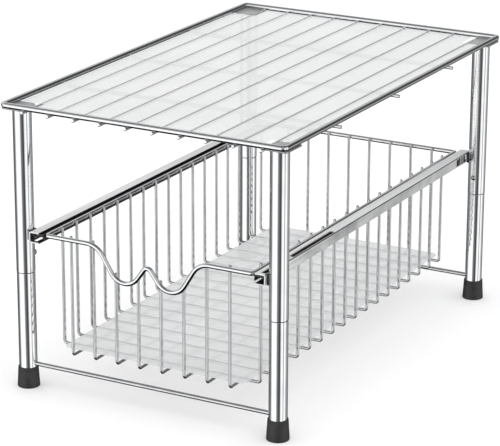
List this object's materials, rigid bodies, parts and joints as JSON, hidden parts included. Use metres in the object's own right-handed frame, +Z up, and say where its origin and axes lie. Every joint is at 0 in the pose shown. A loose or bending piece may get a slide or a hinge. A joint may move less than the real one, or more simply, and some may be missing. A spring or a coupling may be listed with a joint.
{
  "type": "pull-out cabinet basket",
  "caption": "Chromed wire basket that slides out on side rails under a wire shelf, on a frame of round two-piece posts with rubber feet.",
  "frame": {"origin": "on the surface that the feet stand on, under the centre of the shelf", "axes": "+X to the right and +Z up as seen from the front; the front, where the basket comes out, faces -Y"},
  "size_m": [0.319, 0.501, 0.301],
  "materials": {
    "foot_rubber": "matte black",
    "post_chrome": "polished chrome plating",
    "wire_chrome": "chrome-plated wire",
    "basket_chrome": "chrome-plated wire",
    "rail_chrome": "plated sheet steel",
    "screw_chrome": "polished",
    "plate_steel": "satin plated",
    "zinc_steel": "zinc plated",
    "frosted_plastic": "frosted, translucent",
    "black_plastic": "matte black, moulded",
    "roller_nylon": "matte black, moulded"
  },
  "bodies": {
    "frame": {"foot_front_left": "foot_rubber", "foot_front_right": "foot_rubber", "foot_back_left": "foot_rubber", "foot_back_right": "foot_rubber", "lower_post_front_left": "post_chrome", "lower_post_front_right": "post_chrome", "lower_post_back_left": "post_chrome", "lower_post_back_right": "post_chrome", "upper_post_front_left": "post_chrome", "upper_post_front_right": "post_chrome", "upper_post_back_left": "post_chrome", "upper_post_back_right": "post_chrome", "joint_plugs": "zinc_steel", "lock_screws": "screw_chrome", "bottom_bar_front": "wire_chrome", "bottom_bar_back": "wire_chrome", "shelf_rim": "wire_chrome", "shelf_long_wires": "wire_chrome", "shelf_cross_wires": "wire_chrome", "shelf_liner": "frosted_plastic", "corner_plate_front_left": "plate_steel", "corner_plate_front_right": "plate_steel", "corner_plate_back_left": "plate_steel", "corner_plate_back_right": "plate_steel", "rail_left": "rail_chrome", "rail_right": "rail_chrome", "rail_saddles": "black_plastic", "rail_screws": "zinc_steel", "stop_block_left": "black_plastic", "stop_block_right": "black_plastic", "front_roller_pins": "zinc_steel"},
    "basket": {"basket_rim": "basket_chrome", "basket_front_wire": "basket_chrome", "basket_long_wires": "basket_chrome", "basket_cross_wires": "basket_chrome", "basket_liner": "frosted_plastic", "runner_left": "rail_chrome", "runner_right": "rail_chrome", "runner_rivets": "screw_chrome", "rear_roller_pins": "zinc_steel"},
    "front_roller_left": {"front_roller_left": "roller_nylon"},
    "front_roller_right": {"front_roller_right": "roller_nylon"},
    "rear_roller_left": {"rear_roller_left": "roller_nylon"},
    "rear_roller_right": {"rear_roller_right": "roller_nylon"}
  },
  "joints": [
    {"name": "basket_slide", "type": "slide", "parent": "frame", "child": "basket", "axis": [0, -1, 0], "range_m": [0, 0.34]},
    {"name": "front_roller_left_spin", "type": "hinge", "parent": "frame", "child": "front_roller_left", "pos_m": [-0.1278, -0.221, 0.16205], "axis": [1, 0, 0], "continuous": true},
    {"name": "rear_roller_left_spin", "type": "hinge", "parent": "basket", "child": "rear_roller_left", "pos_m": [-0.12655, 0.19, 0.1632], "axis": [1, 0, 0], "continuous": true},
    {"name": "front_roller_right_spin", "type": "hinge", "parent": "frame", "child": "front_roller_right", "pos_m": [0.1278, -0.221, 0.16205], "axis": [1, 0, 0], "continuous": true},
    {"name": "rear_roller_right_spin", "type": "hinge", "parent": "basket", "child": "rear_roller_right", "pos_m": [0.12655, 0.19, 0.1632], "axis": [1, 0, 0], "continuous": true}
  ],
  "couplings": [
    {"joint": "front_roller_left_spin", "follows": "basket_slide", "rad_per_m": 327.87},
    {"joint": "rear_roller_left_spin", "follows": "basket_slide", "rad_per_m": 238.09},
    {"joint": "front_roller_right_spin", "follows": "basket_slide", "rad_per_m": 327.87},
    {"joint": "rear_roller_right_spin", "follows": "basket_slide", "rad_per_m": 238.09}
  ]
}
